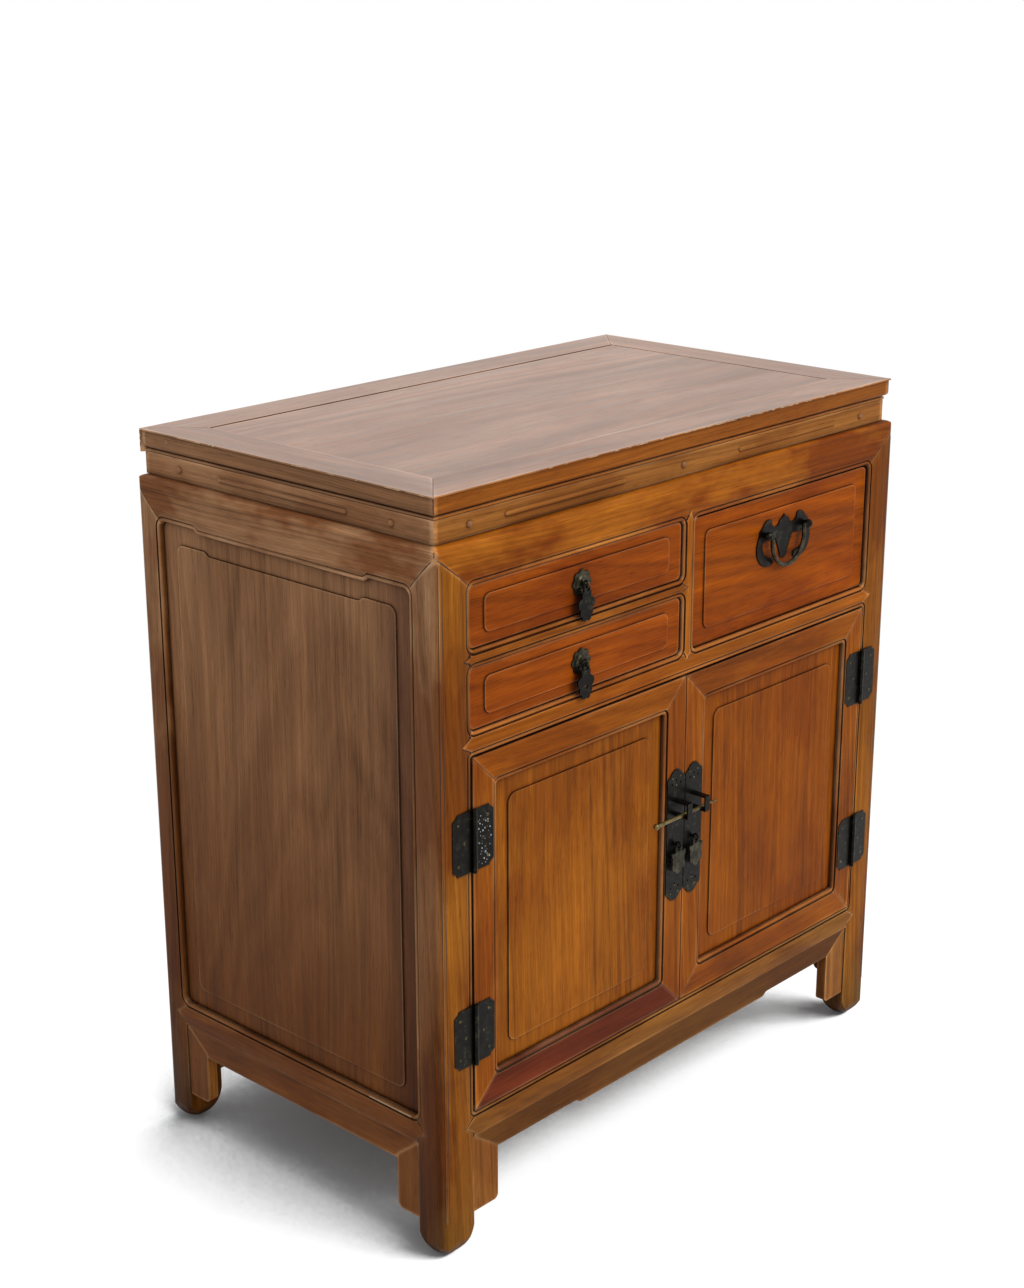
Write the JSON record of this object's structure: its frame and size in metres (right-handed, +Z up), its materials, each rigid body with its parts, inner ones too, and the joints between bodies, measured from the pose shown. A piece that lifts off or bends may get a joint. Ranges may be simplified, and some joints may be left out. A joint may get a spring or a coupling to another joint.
{
  "type": "chest of drawers",
  "caption": "Waisted hardwood side cabinet: beaded mitred frame and raised panels, small and deep drawers over a cupboard with two doors, bullnosed legs and blackened brass fittings.",
  "frame": {"origin": "middle of the footprint of the whole piece, on the floor", "axes": "+X to the right seen from the front, +Y from the front to the back, +Z up"},
  "size_m": [0.77, 0.4692, 0.82],
  "materials": {
    "frame_wood": "waxed satin hardwood",
    "panel_wood": "waxed satin hardwood",
    "drawer_wood": "waxed satin hardwood",
    "top_wood": "sun-bleached waxed hardwood",
    "inner_wood": "bare planed wood",
    "dark_brass": "blackened brass",
    "bright_brass": "worn brass"
  },
  "bodies": {
    "carcass": {"top_frame_front": "top_wood", "top_frame_back": "top_wood", "top_frame_ends": "top_wood", "top_panel": "top_wood", "waist_front": "frame_wood", "waist_back": "frame_wood", "waist_ends": "frame_wood", "posts_front": "frame_wood", "posts_back": "frame_wood", "top_rail_front": "frame_wood", "top_rail_back": "frame_wood", "top_rails_side": "frame_wood", "bottom_rail_front": "frame_wood", "bottom_rail_back": "frame_wood", "bottom_rails_side": "frame_wood", "middle_rail": "frame_wood", "divider_rail": "frame_wood", "mullion": "frame_wood", "apron_front": "frame_wood", "apron_back": "frame_wood", "aprons_side": "frame_wood", "leg_brackets": "frame_wood", "side_panels": "panel_wood", "back_panel": "panel_wood", "cupboard_floor": "inner_wood", "dust_board": "inner_wood", "drawer_partition": "inner_wood", "drawer_runners": "inner_wood", "post_hinge_leaves": "dark_brass", "hinge_pins": "dark_brass"},
    "door_left": {"door_left_stiles": "frame_wood", "door_left_rails": "frame_wood", "door_left_panel": "panel_wood", "door_left_hinge_leaves": "dark_brass", "door_left_lock_plate": "dark_brass", "door_left_staple": "dark_brass"},
    "door_right": {"door_right_stiles": "frame_wood", "door_right_rails": "frame_wood", "door_right_panel": "panel_wood", "door_right_hinge_leaves": "dark_brass", "door_right_lock_plate": "dark_brass", "door_right_staple": "dark_brass"},
    "door_left_pull": {"door_left_pull": "dark_brass"},
    "door_right_pull": {"door_right_pull": "dark_brass"},
    "latch_pin": {"latch_pin": "bright_brass"},
    "drawer_upper": {"drawer_upper_front": "drawer_wood", "drawer_upper_sides": "inner_wood", "drawer_upper_bottom": "inner_wood", "drawer_upper_rosette": "dark_brass"},
    "drawer_upper_pendant": {"drawer_upper_pendant": "dark_brass"},
    "drawer_lower": {"drawer_lower_front": "drawer_wood", "drawer_lower_sides": "inner_wood", "drawer_lower_bottom": "inner_wood", "drawer_lower_rosette": "dark_brass"},
    "drawer_lower_pendant": {"drawer_lower_pendant": "dark_brass"},
    "drawer_deep": {"drawer_deep_front": "drawer_wood", "drawer_deep_sides": "inner_wood", "drawer_deep_bottom": "inner_wood", "drawer_deep_bat_plate": "dark_brass"},
    "drawer_deep_bail": {"drawer_deep_bail": "bright_brass"}
  },
  "joints": [
    {"name": "drawer_upper_slide", "type": "slide", "parent": "carcass", "child": "drawer_upper", "axis": [0, -1, 0], "range_m": [0, 0.28]},
    {"name": "drawer_lower_slide", "type": "slide", "parent": "carcass", "child": "drawer_lower", "axis": [0, -1, 0], "range_m": [0, 0.28]},
    {"name": "drawer_deep_slide", "type": "slide", "parent": "carcass", "child": "drawer_deep", "axis": [0, -1, 0], "range_m": [0, 0.28]},
    {"name": "door_left_hinge", "type": "hinge", "parent": "carcass", "child": "door_left", "pos_m": [-0.33625, -0.2163, 0.3555], "axis": [0, 0, -1], "range_deg": [0, 110]},
    {"name": "door_right_hinge", "type": "hinge", "parent": "carcass", "child": "door_right", "pos_m": [0.33625, -0.2163, 0.3555], "axis": [0, 0, 1], "range_deg": [0, 110]},
    {"name": "latch_pin_slide", "type": "slide", "parent": "door_left", "child": "latch_pin", "axis": [-1, 0, 0], "range_m": [0, 0.047]},
    {"name": "door_left_pull_swing", "type": "hinge", "parent": "door_left", "child": "door_left_pull", "pos_m": [-0.0155, -0.2194, 0.3575], "axis": [-1, 0, 0], "range_deg": [0, 100]},
    {"name": "door_right_pull_swing", "type": "hinge", "parent": "door_right", "child": "door_right_pull", "pos_m": [0.0155, -0.2194, 0.3575], "axis": [-1, 0, 0], "range_deg": [0, 100]},
    {"name": "drawer_upper_pendant_swing", "type": "hinge", "parent": "drawer_upper", "child": "drawer_upper_pendant", "pos_m": [-0.1735, -0.2182, 0.69275], "axis": [-1, 0, 0], "range_deg": [0, 100]},
    {"name": "drawer_lower_pendant_swing", "type": "hinge", "parent": "drawer_lower", "child": "drawer_lower_pendant", "pos_m": [-0.1735, -0.2182, 0.60925], "axis": [-1, 0, 0], "range_deg": [0, 100]},
    {"name": "bail_swing", "type": "hinge", "parent": "drawer_deep", "child": "drawer_deep_bail", "pos_m": [0.1735, -0.2169, 0.68], "axis": [-1, 0, 0], "range_deg": [0, 100]}
  ]
}
